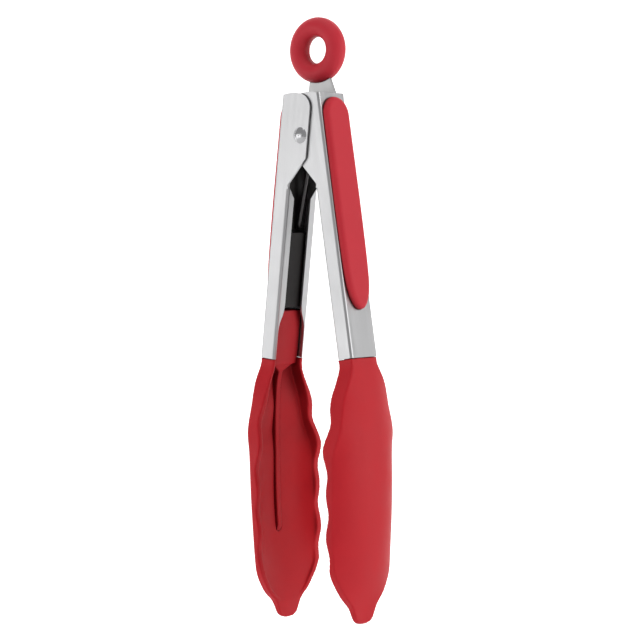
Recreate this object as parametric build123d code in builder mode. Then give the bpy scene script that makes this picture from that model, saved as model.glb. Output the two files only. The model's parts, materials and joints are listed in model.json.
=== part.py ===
from build123d import *
import os
from math import asin, cos, degrees, radians, sin

os.makedirs("parts", exist_ok=True)

# Spring loaded kitchen tongs, hanging by the ring: two sheet-steel arms cross at a rivet, a torsion
# spring spreads them, and a flat lock plate with a soft ring slides up between them.
# Row frame: origin at the centre of the ring's hole, X the way the arms open, Y along the rivet,
# Z up. Each arm also has a frame of its own, arm_frame(side), with its origin at the rivet:
# X outwards through the arm's web, Z up the arm, Y along the rivet.

# ---- driving sizes, mm and degrees ----
open_half_angle = 7.7       # each arm from the middle line, sprung open

sheet = 0.7                 # steel sheet of the arms
inner_width = 14.4          # inner arm, outside of one cheek to outside of the other
cheek_gap = 0.15            # running gap between the nested cheeks, each side
arm_top = 13.1              # web above the rivet
arm_reach = 76.5            # steel below the rivet
web_offset = 9.25           # rivet axis to the outside of the web
lip_offset = 3.1            # rivet axis to the face of the turned-in lips
lip_width = 3.5
lip_start = 18.0            # where the lips begin, below the rivet
lip_taper_start = 57.0
lip_taper_end = 68.0
bend_radius = 1.0

ear_crown = 14.0            # top of the rounded ears above the rivet
ear_reach = 3.1             # ears past the rivet, towards the other arm
ear_radius = 5.0
ear_straight_end = 7.4      # where the slanted edge of the ears begins
notch_offset = 3.6          # corner of the ear beside the first lip

rivet_radius = 1.6
rivet_clearance = 0.05
rivet_head_overlap = 1.15   # head's rim past the shaft
rivet_head_height = 0.9

coil_radius = 3.1           # to the middle of the wire
wire_radius = 0.7
coil_gap = 1.0              # between the coil and the lock plate
coil_end_gap = 0.9          # between the coil and the near cheek
turn_gap = 0.07             # least gap between two turns

plate_thickness = 1.0
plate_gap = 0.7             # between the lock plate and the far cheek
plate_lean = 5.5            # lock plate from upright
plate_shift = 0.55          # lock plate's middle line beside the rivet
slot_gap = 0.1              # between the slot and the rivet
shoulder_gap = 0.85         # between the plate's shoulders and the webs, when closed
shoulder_top = 0.5
shoulder_bottom = -4.5
strap_half_width = 4.2
strap_top = -8.0
tab_half_width = 5.85       # where the plate leaves the arms
tab_height = 14.0
tab_end_half_width = 3.3
tab_end_height = 23.0
lock_travel = 9.5

ring_height = 29.6          # ring centre above the rivet, along the plate
ring_radius = 7.8           # to the middle of the ring's section
ring_half_width = 3.4       # section, across the ring
ring_half_thickness = 3.4   # section, along the hole
hole_radius = 4.47
eye_half_width = 1.3        # steel eye buried in the ring

grip_top = 11.6
grip_bottom = -60.6
grip_margin = 0.9           # web left beside the grip
grip_height = 2.3
grip_round = 1.7

carrier_clearance = 0.15
carrier_top = -7.0
carrier_step = -33.4
carrier_end = -59.0
carrier_floor = 1.3         # thickness under the spring leg
leg_gap = 0.2               # between the leg and the carrier
leg_end_gap = 0.8           # between the end of the leg and the carrier's step
carrier_height = 4.1        # thickness below the step
post_radius = 1.8
post_clearance = 0.05
post_depth = 0.9            # how far the posts reach into the grip
post_places = (-16.0, -32.0, -48.0)

head_length = 88.3          # below the end of the steel
head_gap = 0.1
head_half_width = 16.7      # widest, at the rim, on the inner arm
outer_head_extra = 0.8      # the outer arm's head is wider by this on each side
head_wall = 2.3
neck_wall = 1.4             # beside the core, where the head meets the steel
neck_end = 0.03             # share of the head's length that keeps the arm's square section
neck_wall_end = 0.1         # share of the head's length where the wall is still thin
head_tip_radius = 5.4
tongue_top = -60.1
tongue_offset = 5.1         # rivet axis to the visible face of the tongue
tongue_clearance = 0.15
tongue_root = 2.2           # tongue inside the head's neck
spine_half_width = 1.15
spine_height = 0.85
spine_taper = 2.6           # length over which the tongue narrows to the spine
spine_end = 0.69            # share of the head's length

# ---- sizes worked out from them ----
outer_width = inner_width + 2 * (sheet + cheek_gap)
lean = radians(plate_lean)
plate_depth = inner_width / 2 - sheet - plate_gap - plate_thickness / 2
hinge_point = Vector(
    ring_height * sin(lean) - plate_shift, -plate_depth, -ring_height * cos(lean)
)
slot_half_width = rivet_radius + plate_shift + slot_gap
slot_bottom = -(lock_travel + rivet_radius + 0.15)
shoulder_half_width = web_offset - sheet - shoulder_gap
rivet_head_radius = rivet_radius + rivet_head_overlap
grip_half_width = inner_width / 2 - grip_margin


def leaning_frame(angle, side=1):
    """A frame at the rivet: X to the given side, Z up and leaning back by the angle."""
    x_dir = (side * cos(radians(angle)), 0, sin(radians(angle)))
    z_dir = (-side * sin(radians(angle)), 0, cos(radians(angle)))
    return Plane(origin=hinge_point, x_dir=x_dir, z_dir=z_dir)


def arm_frame(side):
    return leaning_frame(open_half_angle, side)


def side_view(frame, y=0.0):
    """Sketch plane with X outwards and Y up the arm; it extrudes towards -Y of the frame."""
    return Plane(origin=frame.from_local_coords((0, y, 0)), x_dir=frame.x_dir, z_dir=-frame.y_dir)


def front_view(frame, x=0.0):
    """Sketch plane on the web, with X along the rivet and Y up the arm; it extrudes outwards."""
    return Plane(origin=frame.from_local_coords((x, 0, 0)), x_dir=frame.y_dir, z_dir=frame.x_dir)


# ---- arms ----
def ear_outline():
    """Cheek beside the rivet: crowned top, one round corner and the slanted edge to the lips."""
    back = web_offset - bend_radius
    crown_end = (ear_radius - ear_reach, ear_crown)
    corner_end = (-ear_reach, ear_crown - ear_radius)
    notch = (notch_offset, 1 - lip_start)
    with BuildSketch() as outline:
        with BuildLine():
            ThreePointArc((back, arm_top), (back / 2 + 1.5, ear_crown - 0.15), crown_end)
            RadiusArc(crown_end, corner_end, -ear_radius)
            FilletPolyline(corner_end, (-ear_reach, -ear_straight_end), notch, radius=1.5)
            Polyline(notch, (lip_offset + 0.1, -lip_start - 0.4), (back, -lip_start - 0.4),
                     (back, arm_top))
        make_face()
    return outline.sketch


def lip_gap_outline(width):
    """What is open between the lips: all of it above them, and a wider gap where they taper."""
    wide = width / 2 - sheet
    narrow = width / 2 - lip_width
    foot = width / 2 - bend_radius
    with BuildSketch() as outline:
        with BuildLine():
            Polyline((0, arm_top + 5), (wide, arm_top + 5), (wide, -lip_start),
                     (narrow, -lip_start - 3.6), (narrow, -lip_taper_start))
            Bezier((narrow, -lip_taper_start), (narrow, -lip_taper_start - 6),
                   (foot, -lip_taper_end + 6), (foot, -lip_taper_end))
            Polyline((foot, -lip_taper_end), (foot, -arm_reach - 5), (0, -arm_reach - 5))
            mirror(about=Plane.YZ)
        make_face()
    return outline.sketch


def make_arm(side, width, hole_radius_here):
    frame = arm_frame(side)
    depth = web_offset - lip_offset
    ear = ear_outline()
    lip_gap = lip_gap_outline(width)
    with BuildPart() as arm:
        with BuildSketch(frame.offset(-arm_reach)):
            with Locations((lip_offset + depth / 2, 0)):
                RectangleRounded(depth, width, bend_radius)
                RectangleRounded(depth - 2 * sheet, width - 2 * sheet, bend_radius - sheet,
                                 mode=Mode.SUBTRACT)
            with Locations((lip_offset, 0)):
                Rectangle(2 * bend_radius, width - 2 * lip_width, mode=Mode.SUBTRACT)
        extrude(amount=arm_reach + arm_top)
        with BuildSketch(front_view(frame, lip_offset - 1)):
            add(lip_gap)
        extrude(amount=1 + bend_radius, mode=Mode.SUBTRACT)
        for y in (width / 2, sheet - width / 2):
            with BuildSketch(side_view(frame, y)):
                add(ear)
                Circle(hole_radius_here, mode=Mode.SUBTRACT)
            extrude(amount=sheet)
        with BuildSketch(side_view(frame, width / 2 + 1)):
            Circle(hole_radius_here)
        extrude(amount=width + 2, mode=Mode.SUBTRACT)
        with BuildSketch(front_view(frame, web_offset - 2 * sheet)):
            with Locations(*[(0, z) for z in post_places]):
                Circle(post_radius + post_clearance)
        extrude(amount=3 * sheet, mode=Mode.SUBTRACT)
    return arm


inner_arm = make_arm(1, inner_width, rivet_radius + rivet_clearance)
outer_arm = make_arm(-1, outer_width, rivet_radius)


# ---- rivet ----
# Half its section, turned about the rivet's axis: a plain shaft between two domed heads.
head_base = outer_width / 2
dome_radius = (rivet_head_radius ** 2 + rivet_head_height ** 2) / (2 * rivet_head_height)
dome_centre = head_base + rivet_head_height - dome_radius
dome_start = degrees(asin((head_base - dome_centre) / dome_radius))
with BuildPart() as hinge_rivet:
    with BuildSketch(Plane(origin=hinge_point, x_dir=(1, 0, 0), z_dir=(0, 0, 1))):
        with BuildLine():
            dome = CenterArc((0, dome_centre), dome_radius, dome_start, 90 - dome_start)
            Polyline(dome @ 1, (0, 0), (rivet_radius, 0), (rivet_radius, head_base), dome @ 0)
        make_face()
        mirror(about=Plane.XZ)
    revolve(axis=Axis(hinge_point, (0, 1, 0)))


# ---- torsion spring ----
# The coil starts where the outer arm's leg touches it and winds over the top towards -Y; the two
# legs run down beside their arms.
leg_reach = -carrier_step - leg_end_gap
leg_rise = web_offset - sheet - carrier_floor - leg_gap - wire_radius - coil_radius
leg_angle = open_half_angle + degrees(asin(leg_rise / leg_reach))
coil_far_end = plate_depth - plate_thickness / 2 - coil_gap - wire_radius
coil_height = coil_far_end + inner_width / 2 - sheet - coil_end_gap - wire_radius
half_turn = 180 - 2 * leg_angle
coil_turns = int(coil_height / (2 * wire_radius + turn_gap) - half_turn / 360)
coil_sweep = 360 * coil_turns + half_turn
coil_pitch = 360 * coil_height / coil_sweep
coil_start = leaning_frame(leg_angle, -1)
coil_plane = Plane(origin=hinge_point + Vector(0, coil_far_end, 0), x_dir=coil_start.x_dir,
                   z_dir=(0, -1, 0))


def spring_leg(y, side):
    """Straight leg from the coil down to the grip carrier of one arm."""
    along = leaning_frame(leg_angle, side)
    start = hinge_point + along.x_dir * coil_radius + Vector(0, y, 0)
    return Plane(origin=start, z_dir=-along.z_dir)


with BuildLine() as flat_coil:
    Helix(pitch=coil_pitch, height=coil_height, radius=coil_radius, lefthand=True)
coil_path = flat_coil.line.moved(coil_plane.location)
with BuildPart() as torsion_spring:
    with BuildSketch(Plane(origin=coil_path @ 0, z_dir=coil_path % 0)):
        Circle(wire_radius)
    sweep(path=coil_path, is_frenet=True)
    for leg in (spring_leg(coil_far_end, -1), spring_leg(coil_far_end - coil_height, 1)):
        with Locations(leg.location):
            Sphere(1.03 * wire_radius)
        with BuildSketch(leg):
            Circle(wire_radius)
        extrude(amount=leg_reach)


# ---- lock plate and ring ----
# The plate is shifted sideways so that its slot clears the rivet while its tab leans with the arm.
plate_frame = Plane(
    origin=hinge_point + Vector(plate_shift, plate_depth + plate_thickness / 2, 0),
    x_dir=(cos(lean), 0, sin(lean)), z_dir=(0, -1, 0),
)

with BuildPart() as lock_plate:
    with BuildSketch(plate_frame):
        with BuildLine():
            Polyline((0, tab_end_height), (tab_end_half_width, tab_end_height),
                     (tab_half_width, tab_height), (shoulder_half_width, shoulder_top),
                     (shoulder_half_width, shoulder_bottom), (strap_half_width, strap_top),
                     (strap_half_width, slot_bottom - 2), (0, slot_bottom - 2))
            mirror(about=Plane.YZ)
        make_face()
        with BuildLine():
            Polyline((-slot_half_width, slot_bottom), (slot_half_width, slot_bottom),
                     (slot_half_width, 0))
            ThreePointArc((slot_half_width, 0), (0, slot_half_width), (-slot_half_width, 0))
            Line((-slot_half_width, 0), (-slot_half_width, slot_bottom))
        make_face(mode=Mode.SUBTRACT)
        with Locations((0, ring_height)):
            Circle(ring_radius + eye_half_width)
            Circle(ring_radius - eye_half_width, mode=Mode.SUBTRACT)
    extrude(amount=plate_thickness)

with BuildPart() as hanging_ring:
    with BuildSketch(Plane(origin=(0, 0, 0), x_dir=(0, 0, 1), z_dir=(1, 0, 0))):
        with Locations((ring_radius, 0)):
            Ellipse(ring_half_width, ring_half_thickness)
        with Locations((hole_radius - ring_half_width, 0)):
            Rectangle(2 * ring_half_width, 2 * ring_half_thickness, mode=Mode.SUBTRACT)
    revolve(axis=Axis.Y)
    add(lock_plate.part, mode=Mode.SUBTRACT)


# ---- grips and their carriers ----
def grip_outline():
    """Long pad with a full round top and a slimmer, pointed foot."""
    length = grip_top - grip_bottom
    with BuildSketch() as outline:
        with BuildLine():
            RadiusArc((0, grip_top), (grip_half_width, grip_top - grip_half_width), grip_half_width)
            Spline((grip_half_width, grip_top - grip_half_width),
                   (0.98 * grip_half_width, grip_bottom + 0.22 * length),
                   (0.88 * grip_half_width, grip_bottom + 0.11 * length),
                   (0.58 * grip_half_width, grip_bottom + 0.035 * length), (0, grip_bottom),
                   tangents=[(0, -1), (-1, 0)])
            Line((0, grip_bottom), (0, grip_top))
        make_face()
        mirror(about=Plane.YZ)
    return outline.sketch


def make_grip(side):
    frame = arm_frame(side)
    outline = grip_outline()
    with BuildPart() as grip:
        with BuildSketch(front_view(frame, web_offset)):
            add(outline)
        extrude(amount=grip_height)
        fillet(grip.faces().sort_by(Axis(frame.origin, frame.x_dir))[-1].edges(), grip_round)
        with BuildSketch(front_view(frame, web_offset)):
            with Locations(*[(0, z) for z in post_places]):
                Circle(post_radius)
        extrude(amount=post_depth, mode=Mode.SUBTRACT)
    return grip


def make_carrier(side, width):
    frame = arm_frame(side)
    inside = web_offset - sheet
    with BuildPart() as carrier:
        with BuildSketch(side_view(frame)):
            with BuildLine():
                Polyline((inside, carrier_top), (inside - carrier_floor, carrier_top),
                         (inside - carrier_floor, carrier_step),
                         (inside - carrier_height, carrier_step),
                         (inside - carrier_height, carrier_end), (inside, carrier_end), close=True)
            make_face()
        extrude(amount=width / 2 - sheet - carrier_clearance, both=True)
        edges_on_web = carrier.edges().filter_by(Axis(frame.origin, frame.z_dir))
        fillet(edges_on_web.group_by(Axis(frame.origin, frame.x_dir))[-1], bend_radius - sheet)
        with BuildSketch(front_view(frame, inside)):
            with Locations(*[(0, z) for z in post_places]):
                Circle(post_radius)
        extrude(amount=sheet + post_depth)
    return carrier


inner_grip = make_grip(1)
outer_grip = make_grip(-1)
inner_grip_carrier = make_carrier(1, inner_width)
outer_grip_carrier = make_carrier(-1, outer_width)


# ---- heads ----
# Stations down the head: share of the head's length below the steel, half width at the crease as a
# share of the widest, then the crease, the shoulder and the middle of the back, outwards from the
# rivet line, and how much the band between crease and rim flares.
head_stations = (
    (0.081, 0.56, 8.9, 9.5, 9.7, 0.0),
    (0.163, 0.73, 7.4, 9.0, 9.6, 0.12),
    (0.244, 0.838, 6.6, 8.4, 9.1, 0.12),
    (0.336, 0.95, 3.9, 7.3, 8.1, 0.12),
    (0.488, 0.97, 1.2, 5.3, 6.4, 0.12),
    (0.651, 0.97, -1.3, 2.6, 4.0, 0.12),
    (0.793, 0.915, -2.9, -0.5, 0.7, 0.15),
    (0.915, 0.807, -4.5, -3.4, -3.0, 0.2),
    (1.037, 0.7, -5.9, -5.3, -5.1, 0.3),
)
# The wavy rim seen from the side: share of the head's length and distance from the rivet line.
rim_points = (
    (0.0, 3.1), (0.102, 2.6), (0.183, 1.9), (0.239, 2.15), (0.29, 0.3), (0.341, -0.95),
    (0.386, -0.45), (0.427, -0.25), (0.473, -1.35), (0.519, -1.95), (0.58, -1.95),
    (0.625, -3.3), (0.671, -4.2), (0.737, -4.0), (0.778, -4.9), (0.824, -5.5), (0.895, -5.9),
    (0.96, -6.3), (1.047, -6.8),
)
# The head seen from its back, towards the tip: share of the length and of the half width.
plan_points = ((0.78, 0.95), (0.832, 0.83), (0.867, 0.71), (0.901, 0.57))


def head_level(share):
    """Height of a station in the arm's frame."""
    return -(arm_reach + head_gap + share * head_length)


def head_section(frame, share, half_width, crease, shoulder, back, flare):
    """One section across the head: a domed back and two flaring sides, open towards the rim."""
    end = 0.5 - 8.6 * share
    side = half_width + flare * (crease - end)
    bend = 0.64 * half_width
    with BuildSketch(frame.offset(head_level(share))) as section:
        with BuildLine():
            Spline((crease, -half_width), (shoulder, -bend), (back, 0), (shoulder, bend),
                   (crease, half_width))
            Polyline((crease, half_width), (end, side), (end, -side), (crease, -half_width))
        make_face()
    return section.sketch


def plan_outline(half_width, inset=0.0):
    """The head seen from its back: straight sides closed by a rounded, slightly necked tip."""
    wide = 1.05 * half_width - inset
    tip = head_level(1) + inset
    nose = head_tip_radius - inset
    narrowing = [(factor * half_width - inset, head_level(share)) for share, factor in plan_points]
    with BuildSketch() as outline:
        with BuildLine():
            Polyline((0, head_level(-0.05)), (wide, head_level(-0.05)), (wide, head_level(0.66)))
            Spline((wide, head_level(0.66)), *narrowing, (nose + 1.1, head_level(0.937)),
                   (nose, head_level(0.964)), (0, tip), tangents=[(0, -1), (-1, 0)])
            Line((0, tip), (0, head_level(-0.05)))
        make_face()
        mirror(about=Plane.YZ)
    return outline.sketch


def rim_outline():
    """Everything on the inner side of the rim."""
    points = [(x, head_level(share)) for share, x in rim_points]
    points[0] = (rim_points[0][1], head_level(-0.01))
    with BuildSketch() as outline:
        with BuildLine():
            Spline(*points)
            Polyline(points[-1], (-20, head_level(1.03)), (-20, head_level(-0.01)), points[0])
        make_face()
    return outline.sketch


def spine_outline(foot):
    """Side view of the core below its tongue, from the neck to the end of the spine."""
    floor = [(back - head_wall - 0.2, head_level(share))
             for share, width, crease, shoulder, back, flare in head_stations if share < spine_end]
    crest = [(x - spine_height, z) for x, z in floor]
    root = [(x + 0.9, z) for x, z in floor]
    with BuildSketch() as outline:
        with BuildLine():
            Spline((tongue_offset, foot), *crest)
            Line(crest[-1], (floor[-1][0] + 0.2, floor[-1][1] - 4))
            Polyline((floor[-1][0] + 0.2, floor[-1][1] - 4), root[-1])
            Spline(*reversed(root))
            Polyline(root[0], (root[0][0], foot), (tongue_offset, foot))
        make_face()
    return outline.sketch


def make_head_core(side, width):
    frame = arm_frame(side)
    inside = web_offset - sheet - tongue_clearance
    half = width / 2 - sheet - tongue_clearance
    foot = head_level(0) - tongue_root
    spine = spine_outline(foot + 0.5)
    with BuildPart() as spread:
        with BuildSketch(side_view(frame)):
            add(spine)
        extrude(amount=half, both=True)
        with BuildSketch(front_view(frame, -5)):
            with BuildLine():
                Polyline((0, foot + 1), (half - 0.6, foot + 1), (spine_half_width, foot - spine_taper),
                         (spine_half_width, foot - head_length), (0, foot - head_length))
                mirror(about=Plane.YZ)
            make_face()
        extrude(amount=20, mode=Mode.INTERSECT)
    with BuildPart() as core:
        with BuildSketch(side_view(frame)):
            with BuildLine():
                Polyline((tongue_offset, tongue_top), (inside, tongue_top), (inside, foot),
                         (tongue_offset, foot), close=True)
            make_face()
        extrude(amount=half, both=True)
        long_edges = core.edges().filter_by(Axis(frame.origin, frame.z_dir))
        fillet(long_edges.group_by(Axis(frame.origin, frame.x_dir))[-1], bend_radius - sheet)
        add(spread.part)
    return core


def make_head(side, width, half_width, core):
    frame = arm_frame(side)
    neck = (width / 2, web_offset - 0.35, web_offset - 0.05, web_offset, 0.0)
    outside = [(0.0, *neck), (neck_end, *neck)]
    outside += [(row[0], row[1] * half_width, *row[2:]) for row in head_stations]
    outer_sections = [head_section(frame, *row) for row in outside]
    inner_sections = []
    for share, half_here, crease, shoulder, back, flare in outside:
        wall = neck_wall if share <= neck_wall_end else head_wall
        hollow = (share, half_here - wall, crease - 1.5, shoulder - wall - 0.1,
                  back - wall - 0.2, flare)
        inner_sections.append(head_section(frame, *hollow))
    plan, hollow_plan = plan_outline(half_width), plan_outline(half_width, head_wall)
    rim = rim_outline()
    with BuildPart() as hollow:
        loft(inner_sections)
        with BuildSketch(front_view(frame, -25)):
            add(hollow_plan)
        extrude(amount=60, mode=Mode.INTERSECT)
    with BuildPart() as head:
        loft(outer_sections)
        with BuildSketch(front_view(frame, -25)):
            add(plan)
        extrude(amount=60, mode=Mode.INTERSECT)
        add(hollow.part, mode=Mode.SUBTRACT)
        with BuildSketch(side_view(frame)):
            add(rim)
        extrude(amount=2 * half_width, both=True, mode=Mode.SUBTRACT)
        add(core.part, mode=Mode.SUBTRACT)
    return head


inner_head_core = make_head_core(1, inner_width)
outer_head_core = make_head_core(-1, outer_width)
inner_head = make_head(1, inner_width, head_half_width, inner_head_core)
outer_head = make_head(-1, outer_width, head_half_width + outer_head_extra, outer_head_core)


# ---- finish ----
pieces = {
    "inner_arm": inner_arm,
    "outer_arm": outer_arm,
    "hinge_rivet": hinge_rivet,
    "torsion_spring": torsion_spring,
    "lock_plate": lock_plate,
    "hanging_ring": hanging_ring,
    "inner_grip": inner_grip,
    "outer_grip": outer_grip,
    "inner_grip_carrier": inner_grip_carrier,
    "outer_grip_carrier": outer_grip_carrier,
    "inner_head_core": inner_head_core,
    "outer_head_core": outer_head_core,
    "inner_head": inner_head,
    "outer_head": outer_head,
}
for name, piece in pieces.items():
    piece.part.label = name
    export_step(piece.part, f"parts/{name}.step")
    print(name, round(piece.part.volume, 1), piece.part.is_valid, len(piece.part.solids()))
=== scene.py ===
import json
from math import asin, atan2, cos, pi, radians, sin

import bmesh
import bpy
from mathutils import Euler, Matrix, Vector


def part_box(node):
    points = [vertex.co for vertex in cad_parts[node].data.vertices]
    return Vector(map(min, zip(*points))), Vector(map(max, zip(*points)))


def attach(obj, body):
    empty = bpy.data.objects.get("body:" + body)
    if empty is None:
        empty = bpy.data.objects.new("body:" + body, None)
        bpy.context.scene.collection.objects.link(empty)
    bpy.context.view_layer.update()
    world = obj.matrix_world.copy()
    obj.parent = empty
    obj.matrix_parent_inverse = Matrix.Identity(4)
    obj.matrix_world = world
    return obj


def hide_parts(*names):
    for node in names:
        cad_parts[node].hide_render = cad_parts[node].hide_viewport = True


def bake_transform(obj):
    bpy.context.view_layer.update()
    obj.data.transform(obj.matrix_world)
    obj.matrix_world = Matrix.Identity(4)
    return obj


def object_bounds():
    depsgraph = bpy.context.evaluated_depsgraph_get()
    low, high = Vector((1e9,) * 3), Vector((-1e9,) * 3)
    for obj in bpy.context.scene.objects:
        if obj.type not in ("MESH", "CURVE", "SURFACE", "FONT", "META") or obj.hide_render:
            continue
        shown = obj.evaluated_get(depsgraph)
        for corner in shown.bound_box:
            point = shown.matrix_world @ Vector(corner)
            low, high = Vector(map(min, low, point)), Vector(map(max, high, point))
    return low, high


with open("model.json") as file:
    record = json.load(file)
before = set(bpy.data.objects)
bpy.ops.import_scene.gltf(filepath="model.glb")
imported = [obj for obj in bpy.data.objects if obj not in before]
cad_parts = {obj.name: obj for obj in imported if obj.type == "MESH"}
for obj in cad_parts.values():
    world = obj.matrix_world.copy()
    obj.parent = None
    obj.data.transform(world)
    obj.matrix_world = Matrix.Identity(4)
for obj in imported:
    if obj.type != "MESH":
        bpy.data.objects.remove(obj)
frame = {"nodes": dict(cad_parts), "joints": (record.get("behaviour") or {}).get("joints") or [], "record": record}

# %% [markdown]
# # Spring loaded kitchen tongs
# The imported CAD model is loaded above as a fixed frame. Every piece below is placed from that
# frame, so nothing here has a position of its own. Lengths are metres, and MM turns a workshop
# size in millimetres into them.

MM = 0.001
cad_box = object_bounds()
nodes = frame["nodes"]
joints = {joint["name"]: joint for joint in frame["joints"]}
hinge = Vector(joints["arm_hinge"]["pos_m"])
down_inner = Vector(joints["lock_slide"]["axis"])
lean = atan2(down_inner.x, -down_inner.z)
print("rivet at", [round(v / MM, 2) for v in hinge], "mm, arms lean", round(lean / pi * 180, 2), "degrees")

# %% [markdown]
# ## Working along an arm
# Each arm leans away from the middle by the same angle, one to each side. Patterns such as brushing
# have to follow the arm and not the room, so the first helper gives the turn about Y that stands an
# arm upright. The inner arm leans towards +X, and its side is 1; the outer arm's side is -1.

# %% The arm's own direction
def arm_turn(side):
    """Rotation about Y that carries a point beside a leaning arm to one beside an upright arm."""
    return (0.0, side * lean, 0.0)


print("pattern turn of the inner arm", [round(angle, 3) for angle in arm_turn(1)])

# %% [markdown]
# ## Colours and shader nodes
# Colours are written as the sRGB hex values one reads off a swatch. Blender's sockets want linear
# light, so one function turns them over. One more function adds a shader node, sets its sockets
# and links it, and every finish below is built with it.

# %% Colour and node helpers
def linear(hex_colour):
    """The linear RGBA of an sRGB hex colour."""
    parts = [int(hex_colour[i:i + 2], 16) / 255 for i in (1, 3, 5)]
    return [p / 12.92 if p <= 0.04045 else ((p + 0.055) / 1.055) ** 2.4 for p in parts] + [1.0]


def add_node(material, kind, links=(), settings=(), **values):
    """Adds one node. values fill its sockets, settings its properties, and links feed its sockets."""
    node = material.node_tree.nodes.new(kind)
    for name, value in dict(settings).items():
        setattr(node, name, value)
    for name, value in values.items():
        key = int(name[1:]) if name[0] == "_" else name.replace("_", " ")
        node.inputs[key].default_value = value
    for name, source in dict(links).items():
        material.node_tree.links.new(source, node.inputs[name])
    return node


def new_finish(name, **values):
    """A material with an empty tree but for the output and one Principled shader."""
    material = bpy.data.materials.new(name)
    material.use_nodes = True
    material.node_tree.nodes.clear()
    shader = add_node(material, "ShaderNodeBsdfPrincipled", **values)
    add_node(material, "ShaderNodeOutputMaterial", links={"Surface": shader.outputs[0]})
    return material, shader


def feed(material, shader, **sources):
    """Links sources to the shader's own sockets."""
    for name, source in sources.items():
        material.node_tree.links.new(source, shader.inputs[name.replace("_", " ")])


def wear(piece_nodes, material):
    """Puts one material on CAD nodes, in place of the plain one they come with."""
    for node in piece_nodes:
        nodes[node].data.materials.clear()
        nodes[node].data.materials.append(material)


print("the heads' red in linear light", [round(c, 3) for c in linear("#d3252f")])

# %% [markdown]
# ## Satin stainless steel, 304 sheet, brushed lengthwise
# The arms are folded from strip that was linished along its length before it was bent. The eye
# sees long faint streaks and a soft highlight that is drawn out across them. Grit of 180 leaves
# scratches about 0.1 mm apart; they are drawn 0.35 mm apart here, because finer ones vanish at this
# distance. The streaks are a noise that is squeezed across the arm and stretched along it. Where two
# sheets lie close together, an ambient occlusion node paints shade into the colour, darkening the
# last 0.7 mm of the gap.

# %% Brushed steel
# The near-black colour below is painted shade for the narrow gaps between sheets.
crevice_reach = 0.7 * MM
crevice_painted_shade = "#1c1b1b"
streak_shades = (0.88, 1.06)
smear_size = 14 * MM


def shades(hex_colour, factors):
    """The linear colour made darker and lighter by each factor."""
    return [[part * factor for part in linear(hex_colour)[:3]] + [1.0] for factor in factors]


def brushed_steel(name, turn, tone, roughness, streak_mm=0.35, streak_length_mm=38.0, depth=0.12):
    material, shader = new_finish(name, Metallic=1.0, Roughness=roughness)
    place = add_node(material, "ShaderNodeTexCoord")
    upright = add_node(material, "ShaderNodeMapping", {"Vector": place.outputs["Object"]}, Rotation=turn)
    squeeze = add_node(material, "ShaderNodeMapping", {"Vector": upright.outputs[0]},
                       Scale=(1 / (streak_mm * MM), 1 / (streak_mm * MM), 1 / (streak_length_mm * MM)))
    streaks = add_node(material, "ShaderNodeTexNoise", {"Vector": squeeze.outputs[0]},
                       Scale=1.0, Detail=3.0, Roughness=0.6)
    clouds = add_node(material, "ShaderNodeTexNoise", {"Vector": upright.outputs[0]},
                      Scale=1 / smear_size, Detail=2.0)
    dark, light = shades(tone, streak_shades)
    colour = add_node(material, "ShaderNodeMix", {"Factor": streaks.outputs[0]}, {"data_type": "RGBA"},
                      _6=dark, _7=light)
    rough = add_node(material, "ShaderNodeMapRange", {"Value": streaks.outputs[0]},
                     From_Min=0.3, From_Max=0.7, To_Min=roughness - 0.05, To_Max=roughness + 0.07)
    smear = add_node(material, "ShaderNodeMapRange", {"Value": clouds.outputs[0]},
                     From_Min=0.35, From_Max=0.75, To_Min=0.0, To_Max=0.05)
    total = add_node(material, "ShaderNodeMath", {0: rough.outputs[0], 1: smear.outputs[0]},
                     {"operation": "ADD"})
    bump = add_node(material, "ShaderNodeBump", {"Height": streaks.outputs[0]},
                    Strength=depth, Distance=0.02 * MM)
    # Painted shade: where the ambient occlusion reads a narrow gap, the dark colour is mixed into the base colour.
    crevice = add_node(material, "ShaderNodeAmbientOcclusion", Distance=crevice_reach)
    crevice_shade_share = add_node(material, "ShaderNodeMapRange", {"Value": crevice.outputs["AO"]},
                     From_Min=0.45, From_Max=0.85, To_Min=0.25, To_Max=1.0)
    shaded = add_node(material, "ShaderNodeMix", {7: colour.outputs[2], 0: crevice_shade_share.outputs[0]},
                      {"data_type": "RGBA"}, _6=linear(crevice_painted_shade))
    feed(material, shader, Base_Color=shaded.outputs[2], Roughness=total.outputs[0], Normal=bump.outputs[0])
    return material


plate_turn = (0.0, radians(5.5), 0.0)
for part, turn, tone, roughness in (("inner_arm", arm_turn(1), "#c8c8c9", 0.34),
                                    ("outer_arm", arm_turn(-1), "#c8c8c9", 0.34),
                                    ("lock_plate", plate_turn, "#c0c0c0", 0.38)):
    steel = brushed_steel("satin_stainless_" + part, turn, tone, roughness)
    wear([part], steel)
    print(steel.name, tone)

# %% [markdown]
# ## Bright steel rivet and hard-drawn spring wire
# The rivet is cold headed and tumbled, so it is nearly a mirror with shallow dents. The spring is
# hard-drawn stainless wire, given a dark grey tone, with the fine lines of the drawing die along it.
# The wire's lines are too fine to see, and only a mottled sheen is left of them.

# %% Rivet and wire finishes
grain_shades = (0.85, 1.05)


def mottled_metal(name, tone, roughness, grain_mm, spread, dent_mm):
    material, shader = new_finish(name, Metallic=1.0, Roughness=roughness)
    place = add_node(material, "ShaderNodeTexCoord")
    grain = add_node(material, "ShaderNodeTexNoise", {"Vector": place.outputs["Object"]},
                     Scale=1 / (grain_mm * MM), Detail=2.5)
    dark, light = shades(tone, grain_shades)
    colour = add_node(material, "ShaderNodeMix", {"Factor": grain.outputs[0]}, {"data_type": "RGBA"},
                      _6=dark, _7=light)
    rough = add_node(material, "ShaderNodeMapRange", {"Value": grain.outputs[0]},
                     To_Min=roughness - spread, To_Max=roughness + spread)
    bump = add_node(material, "ShaderNodeBump", {"Height": grain.outputs[0]},
                    Strength=0.2, Distance=dent_mm * MM)
    feed(material, shader, Base_Color=colour.outputs[2], Roughness=rough.outputs[0], Normal=bump.outputs[0])
    return material


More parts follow.
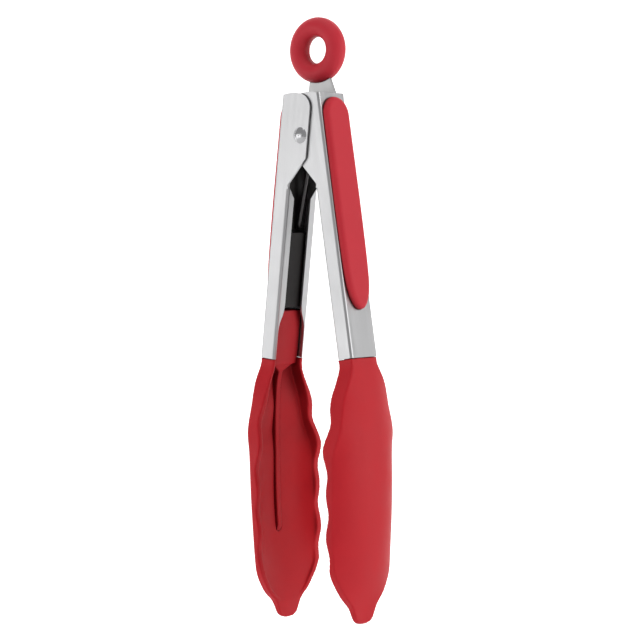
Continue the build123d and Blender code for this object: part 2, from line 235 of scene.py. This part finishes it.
bright_steel = mottled_metal("tumbled_bright_steel_rivet", "#cdcdcf", 0.2, 1.4, 0.04, 0.004)
spring_wire = mottled_metal("hard_drawn_stainless_wire", "#6c6a6a", 0.42, 0.5, 0.08, 0.01)
wear(["hinge_rivet"], bright_steel)
print("metals:", bright_steel.name, spring_wire.name)

# %% [markdown]
# ## Red silicone and red grip rubber
# Heads and ring are compression moulded silicone; the grips are moulded thermoplastic rubber. Both
# come out of a mould that was spark eroded, so they have a fine matte skin with a broad, dull
# highlight, and a slight unevenness of tone a few millimetres across. The skin's grain is about
# 0.08 mm and is drawn at 0.3 mm so that it just shows. Light that bounces about inside a red hollow
# comes back a deeper red, so an ambient occlusion node, which reads how closed in a point is, paints
# a darker shade into the colour there.

# %% Soft red finishes
patch_size = 9 * MM
scoop_reach = 20.0


def moulded_rubber(name, tone, shade, roughness, grain_mm=0.3, gloss=0.3, hollow_shade="#7a0a12",
                   reach_mm=9.0):
    material, shader = new_finish(name, Roughness=roughness, IOR=1.41, Specular_IOR_Level=gloss)
    place = add_node(material, "ShaderNodeTexCoord")
    skin = add_node(material, "ShaderNodeTexNoise", {"Vector": place.outputs["Object"]},
                    Scale=1 / (grain_mm * MM), Detail=2.0)
    patches = add_node(material, "ShaderNodeTexNoise", {"Vector": place.outputs["Object"]},
                       Scale=1 / patch_size, Detail=3.0)
    colour = add_node(material, "ShaderNodeMix", {"Factor": patches.outputs[0]}, {"data_type": "RGBA"},
                      _6=linear(shade), _7=linear(tone))
    # Painted shade: where the ambient occlusion reads a closed-in point, the darker hollow colour is mixed into
    # the base colour.
    closed_in = add_node(material, "ShaderNodeAmbientOcclusion", Distance=reach_mm * MM)
    open_share = add_node(material, "ShaderNodeMapRange", {"Value": closed_in.outputs["AO"]},
                          From_Min=0.45, From_Max=0.97, To_Min=0.0, To_Max=1.0)
    shade_painted = add_node(material, "ShaderNodeMix", {7: colour.outputs[2], 0: open_share.outputs[0]},
                        {"data_type": "RGBA"}, _6=linear(hollow_shade))
    rough = add_node(material, "ShaderNodeMapRange", {"Value": patches.outputs[0]},
                     From_Min=0.3, From_Max=0.7, To_Min=roughness - 0.04, To_Max=roughness + 0.05)
    bump = add_node(material, "ShaderNodeBump", {"Height": skin.outputs[0]},
                    Strength=0.25, Distance=0.02 * MM)
    feed(material, shader, Base_Color=shade_painted.outputs[2], Roughness=rough.outputs[0], Normal=bump.outputs[0])
    return material


head_silicone = moulded_rubber("red_silicone_head_matte_moulded", "#d3252f", "#c71e29", 0.5,
                              reach_mm=scoop_reach)
ring_silicone = moulded_rubber("red_silicone_ring_matte_moulded", "#de3947", "#d4323f", 0.46)
grip_rubber = moulded_rubber("red_grip_rubber_spark_eroded", "#d83542", "#d1303c", 0.55)
print("soft reds:", head_silicone.name, ring_silicone.name, grip_rubber.name)

# %% [markdown]
# ## Nylon core and black liner
# The tongue and rib inside each head are glass-filled nylon, coloured through and nearly as matte
# as the silicone. The liner under each grip is black polypropylene with a fine moulded grain, which
# spreads its highlight into a soft grey.

# %% Hard plastics
red_nylon = moulded_rubber("red_glass_filled_nylon_core", "#cf232e", "#c41d28", 0.48, 0.5, 0.3,
                           reach_mm=scoop_reach)
# The liner's near-black hollow colour is painted shade in its recesses.
black_liner = moulded_rubber("black_polypropylene_liner", "#180f0e", "#100a0a", 0.45, 0.35, 0.4,
                             hollow_shade="#060404", reach_mm=3.0)
wear(["inner_grip_carrier", "outer_grip_carrier"], black_liner)
print("plastics:", red_nylon.name, black_liner.name)

# %% [markdown]
# ## Soft moulded pieces
# Silicone never has a sharp corner: the mould's edges are eased and the rubber follows. A copy of
# the CAD solid gives the exact shape. Remeshing it in small voxels and letting the surface relax a
# few times rounds every edge by about half a millimetre, which is what the real moulding does.
# A voxel grid leaves stair steps along edges that nearly follow one of its axes, and most edges here
# do. So the copy is tilted before it is remeshed and turned back after, which makes the steps so
# short that relaxing removes them.

# %% A copy with eased edges
relax_share = 0.5
grid_tilt = Euler((0.62, 0.48, 0.35)).to_matrix().to_4x4()


def eased_copy(node, name, voxel_mm, relax, material, body):
    """Replaces a CAD node by a remeshed copy whose edges are softened."""
    piece = bpy.data.objects.new(name, nodes[node].data.copy())
    piece.data.transform(grid_tilt)
    bpy.context.scene.collection.objects.link(piece)
    remesh = piece.modifiers.new("voxels", "REMESH")
    remesh.mode, remesh.voxel_size, remesh.use_smooth_shade = "VOXEL", voxel_mm * MM, True
    smooth = piece.modifiers.new("relax", "SMOOTH")
    smooth.factor, smooth.iterations = relax_share, relax
    bpy.context.view_layer.update()
    settled = bpy.data.meshes.new_from_object(piece.evaluated_get(bpy.context.evaluated_depsgraph_get()))
    settled.transform(grid_tilt.inverted())
    piece.modifiers.clear()
    piece.data = settled
    settled.materials.clear()
    settled.materials.append(material)
    settled.shade_smooth()
    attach(piece, body)
    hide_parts(node)
    print(name, len(settled.vertices), "vertices")


# %% Heads, grips and cores
soft_pieces = (("head", "silicone_head", 0.3, 9, head_silicone, "silicone"),
               ("grip", "rubber_grip", 0.25, 10, grip_rubber, "grip_rubber"),
               ("head_core", "nylon_core", 0.24, 12, red_nylon, "red_nylon"))
for part, name, voxel_mm, relax, material, slot in soft_pieces:
    for side in ("inner", "outer"):
        eased_copy(side + "_" + part, name + "_" + side, voxel_mm, relax, material, side + "_side")

# %% [markdown]
# ## Hanging ring
# The ring is moulded round the eye of the lock plate. Its section is a fat oval with a narrow flat
# band in the hole, and where the two mould halves meet, a hair-fine seam runs round its outside.
# It is a plain section turned about the hole, so it is built ring by ring from that section.

# %% Ring from its section
ring_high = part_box("hanging_ring")[1]
ring_outer = ring_high.x
ring_half_thick = ring_high.y
ring_band = frame["record"]["mounts"][0]["dims"]["r_mm"] * MM
ring_mid = 7.8 * MM
ring_half_wide = ring_outer - ring_mid
ring_seam = 0.08 * MM


def ring_section(count=40):
    """Points of the section: distance from the hole's axis and place along it."""
    points = []
    for i in range(count):
        turn = 2 * pi * i / count
        out = max(ring_mid + ring_half_wide * cos(turn), ring_band)
        seam = ring_seam if i == 0 else 0.0
        points.append((out - seam, ring_half_thick * sin(turn)))
    return points


def turned_ring(name, section, steps=96):
    mesh = bmesh.new()
    rows = []
    for k in range(steps):
        turn = 2 * pi * k / steps
        rows.append([mesh.verts.new((r * sin(turn), y, r * cos(turn))) for r, y in section])
    for k in range(steps):
        here, there = rows[k], rows[(k + 1) % steps]
        for i in range(len(section)):
            j = (i + 1) % len(section)
            mesh.faces.new((here[i], here[j], there[j], there[i]))
    bmesh.ops.recalc_face_normals(mesh, faces=mesh.faces)
    data = bpy.data.meshes.new(name)
    mesh.to_mesh(data)
    mesh.free()
    data.shade_smooth()
    piece = bpy.data.objects.new(name, data)
    bpy.context.scene.collection.objects.link(piece)
    return piece


ring = turned_ring("silicone_hanging_ring", ring_section())
ring.data.materials.append(ring_silicone)
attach(ring, "hanger")
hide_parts("hanging_ring")
print("ring", round(2 * ring_outer / MM, 1), "mm across, hole", round(2 * ring_band / MM, 1), "mm")

# %% [markdown]
# ## Torsion spring
# One wire makes a leg, five turns and the other leg. When the arms close, one leg goes with each arm
# and the turns between them wind up a little. The wire is a tube swept along points on the coil.

# %% Wire path
points_per_turn = 34
points_per_leg = 12
wire_radius = 0.7 * MM
coil_radius = 3.1 * MM
coil_turns = 5
leg_reach = 32.6 * MM
leg_rise = 3.25 * MM
leg_angle = lean + asin(leg_rise / leg_reach)
spring_low, spring_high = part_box("torsion_spring")
first_y = spring_high.y - wire_radius
last_y = spring_low.y + wire_radius
coil_sweep = 2 * pi * coil_turns + pi - 2 * leg_angle
coil_pitch = (first_y - last_y) * 2 * pi / coil_sweep


def coil_point(turned):
    """Point on the coil after it has turned from the outer arm's leg, over the top."""
    angle = pi - leg_angle - turned
    y = first_y - coil_pitch * turned / (2 * pi)
    return Vector((hinge.x + coil_radius * cos(angle), y, hinge.z + coil_radius * sin(angle)))


def wire_points():
    steps = points_per_turn * coil_turns
    coil = [coil_point(coil_sweep * i / steps) for i in range(steps + 1)]
    legs = []
    for end, side in ((coil[0], -1), (coil[-1], 1)):
        down = Vector((side * sin(leg_angle), 0, -cos(leg_angle)))
        legs.append([end + down * leg_reach * i / points_per_leg for i in range(1, points_per_leg + 1)])
    return legs[0][::-1] + coil + legs[1]


path = wire_points()
print("wire", round(sum((b - a).length for a, b in zip(path, path[1:])) / MM, 1), "mm long")

# %% Wire swept along its path
def swept_wire(name, points, radius, sides=12):
    """A tube round the points, closed by a flat cut at each end."""
    mesh = bmesh.new()
    rows = []
    normal = Vector((0, 1, 0))
    for i, point in enumerate(points):
        before, after = points[max(i - 1, 0)], points[min(i + 1, len(points) - 1)]
        along = (after - before).normalized()
        normal = (normal - along * normal.dot(along)).normalized()
        side = along.cross(normal)
        turns = [2 * pi * k / sides for k in range(sides)]
        rows.append([mesh.verts.new(point + radius * (normal * cos(t) + side * sin(t))) for t in turns])
    for here, there in zip(rows, rows[1:]):
        for k in range(sides):
            mesh.faces.new((here[k], here[(k + 1) % sides], there[(k + 1) % sides], there[k]))
    mesh.faces.new(rows[0])
    mesh.faces.new(rows[-1])
    bmesh.ops.recalc_face_normals(mesh, faces=mesh.faces)
    data = bpy.data.meshes.new(name)
    mesh.to_mesh(data)
    mesh.free()
    data.shade_smooth()
    piece = bpy.data.objects.new(name, data)
    bpy.context.scene.collection.objects.link(piece)
    return piece


spring = swept_wire("wound_torsion_spring", path, wire_radius)
spring.data.materials.append(spring_wire)
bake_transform(spring)
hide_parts("torsion_spring")
print("spring", len(spring.data.vertices), "vertices")

# %% [markdown]
# ## Floor and backdrop
# The tongs hang in the air, so the floor lies some way below the tips. It sweeps up behind them in
# one curve, as studio background paper does, so no horizon shows from the front. Its pale colour is
# slightly uneven, as paper is. The paper further behind the tongs is given an emission that rises
# with distance, a painted glow where a real backdrop would need a lamp of its own.

# %% Paper sweep
paper, paper_shader = new_finish("white_background_paper_matte_painted_glow", Roughness=0.9,
                                 Emission_Color=(1, 1, 1, 1))
paper_place = add_node(paper, "ShaderNodeTexCoord")
paper_fibres = add_node(paper, "ShaderNodeTexNoise", {"Vector": paper_place.outputs["Object"]}, Scale=60.0)
paper_tone = add_node(paper, "ShaderNodeMix", {"Factor": paper_fibres.outputs[0]}, {"data_type": "RGBA"},
                      _6=linear("#fafafa"), _7=linear("#fdfdfd"))

yaw = radians(38.34)
pitch = radians(1.45)
roll = radians(-1.14)
back = Vector((sin(yaw) * cos(pitch), -cos(yaw) * cos(pitch), sin(pitch)))
away = Vector((-back.x, -back.y, 0)).normalized()
beside = Vector((away.y, -away.x, 0))
# Painted light: the paper's emission grows with its distance behind the tongs along a fixed direction.
behind = add_node(paper, "ShaderNodeVectorMath", {0: paper_place.outputs["Object"]},
                  {"operation": "DOT_PRODUCT"}, _1=away)
painted_backdrop_glow = add_node(paper, "ShaderNodeMapRange", {"Value": behind.outputs["Value"]},
                From_Min=0.15, From_Max=0.45, To_Min=0.0, To_Max=0.7)
feed(paper, paper_shader, Base_Color=paper_tone.outputs[2], Emission_Strength=painted_backdrop_glow.outputs[0])
floor_level = cad_box[0][2] - 60 * MM


def paper_sweep(name, half_width, near, far, bend, height, steps=16):
    """A strip of paper: flat near the camera, then a quarter turn, then upright."""
    profile = [(-near, 0.0), (far, 0.0)]
    for turn in [pi / 2 * i / steps for i in range(1, steps + 1)]:
        profile.append((far + bend * sin(turn), bend * (1 - cos(turn))))
    profile += [(far + bend, height)]
    mesh = bmesh.new()
    rows = []
    for along, up in profile:
        middle = Vector((0, 0, floor_level + up)) + away * along
        rows.append([mesh.verts.new(middle + beside * s * half_width) for s in (-1, -0.5, 0, 0.5, 1)])
    for here, there in zip(rows, rows[1:]):
        for k in range(4):
            mesh.faces.new((here[k], here[k + 1], there[k + 1], there[k]))
    data = bpy.data.meshes.new(name)
    mesh.to_mesh(data)
    mesh.free()
    data.shade_smooth()
    sweep = bpy.data.objects.new(name, data)
    bpy.context.scene.collection.objects.link(sweep)
    sweep.data.materials.append(paper)


paper_sweep("paper_floor", half_width=1.6, near=1.2, far=0.5, bend=0.5, height=2.2)
print("floor", round(floor_level / MM), "mm")

# %% [markdown]
# ## Light
# Bare steel shows its surroundings, so the light is mostly large white panels: one broad soft box
# to the left of the camera, one to the right and one above. A pale world fills the rest, and the
# darker room between the panels is what draws the folds of the steel.

# %% Soft boxes
centre = (Vector(cad_box[0]) + Vector(cad_box[1])) / 2


def soft_box(name, direction, distance, size, power):
    lamp = bpy.data.lights.new(name, "AREA")
    lamp.shape, lamp.size, lamp.size_y, lamp.energy = "RECTANGLE", size[0], size[1], power
    box = bpy.data.objects.new(name, lamp)
    bpy.context.scene.collection.objects.link(box)
    box.location = centre + direction.normalized() * distance
    box.rotation_euler = direction.to_track_quat("Z", "Y").to_euler()
    print(name, power, "W")


soft_box("left_panel", Vector((-0.62, -0.78, -0.25)), 1.2, (1.2, 1.2), 6.2)
soft_box("right_panel", Vector((0.92, 0.36, 0.02)), 1.1, (0.9, 1.2), 5.8)
soft_box("top_panel", Vector((0.1, -0.2, 1.0)), 1.1, (1.0, 1.0), 3.0)

world = bpy.data.worlds.new("pale_room")
world.use_nodes = True
room = world.node_tree.nodes["Background"]
room.inputs["Color"].default_value = (1, 1, 1, 1)
room.inputs["Strength"].default_value = 0.36
bpy.context.scene.world = world
bpy.context.scene.view_settings.view_transform = "Standard"

# %% [markdown]
# ## Camera
# A long lens from 0.8 m flattens the view as a catalogue picture does. The camera stands 38 degrees
# round towards the inner arm and looks down by about a degree and a half, with a roll of one degree.

# %% Long lens
camera_distance = 0.8
camera = bpy.data.objects.new("camera", bpy.data.cameras.new("camera"))
bpy.context.scene.collection.objects.link(camera)
level = Vector((cos(yaw), sin(yaw), 0))
rise = back.cross(level)
right = level * cos(roll) + rise * sin(roll)
top = rise * cos(roll) - level * sin(roll)
target = hinge + Vector((0.6, 0, -62.205)) * MM
facing = Matrix((right, top, back)).transposed().to_4x4()
camera.matrix_world = Matrix.Translation(target + back * camera_distance) @ facing
camera.data.lens, camera.data.sensor_width = 132.9, 36.0
camera.data.clip_start, camera.data.clip_end = 0.05, 20.0
camera.data.dof.use_dof = False
bpy.context.scene.camera = camera
print("camera", [round(v, 3) for v in camera.location])
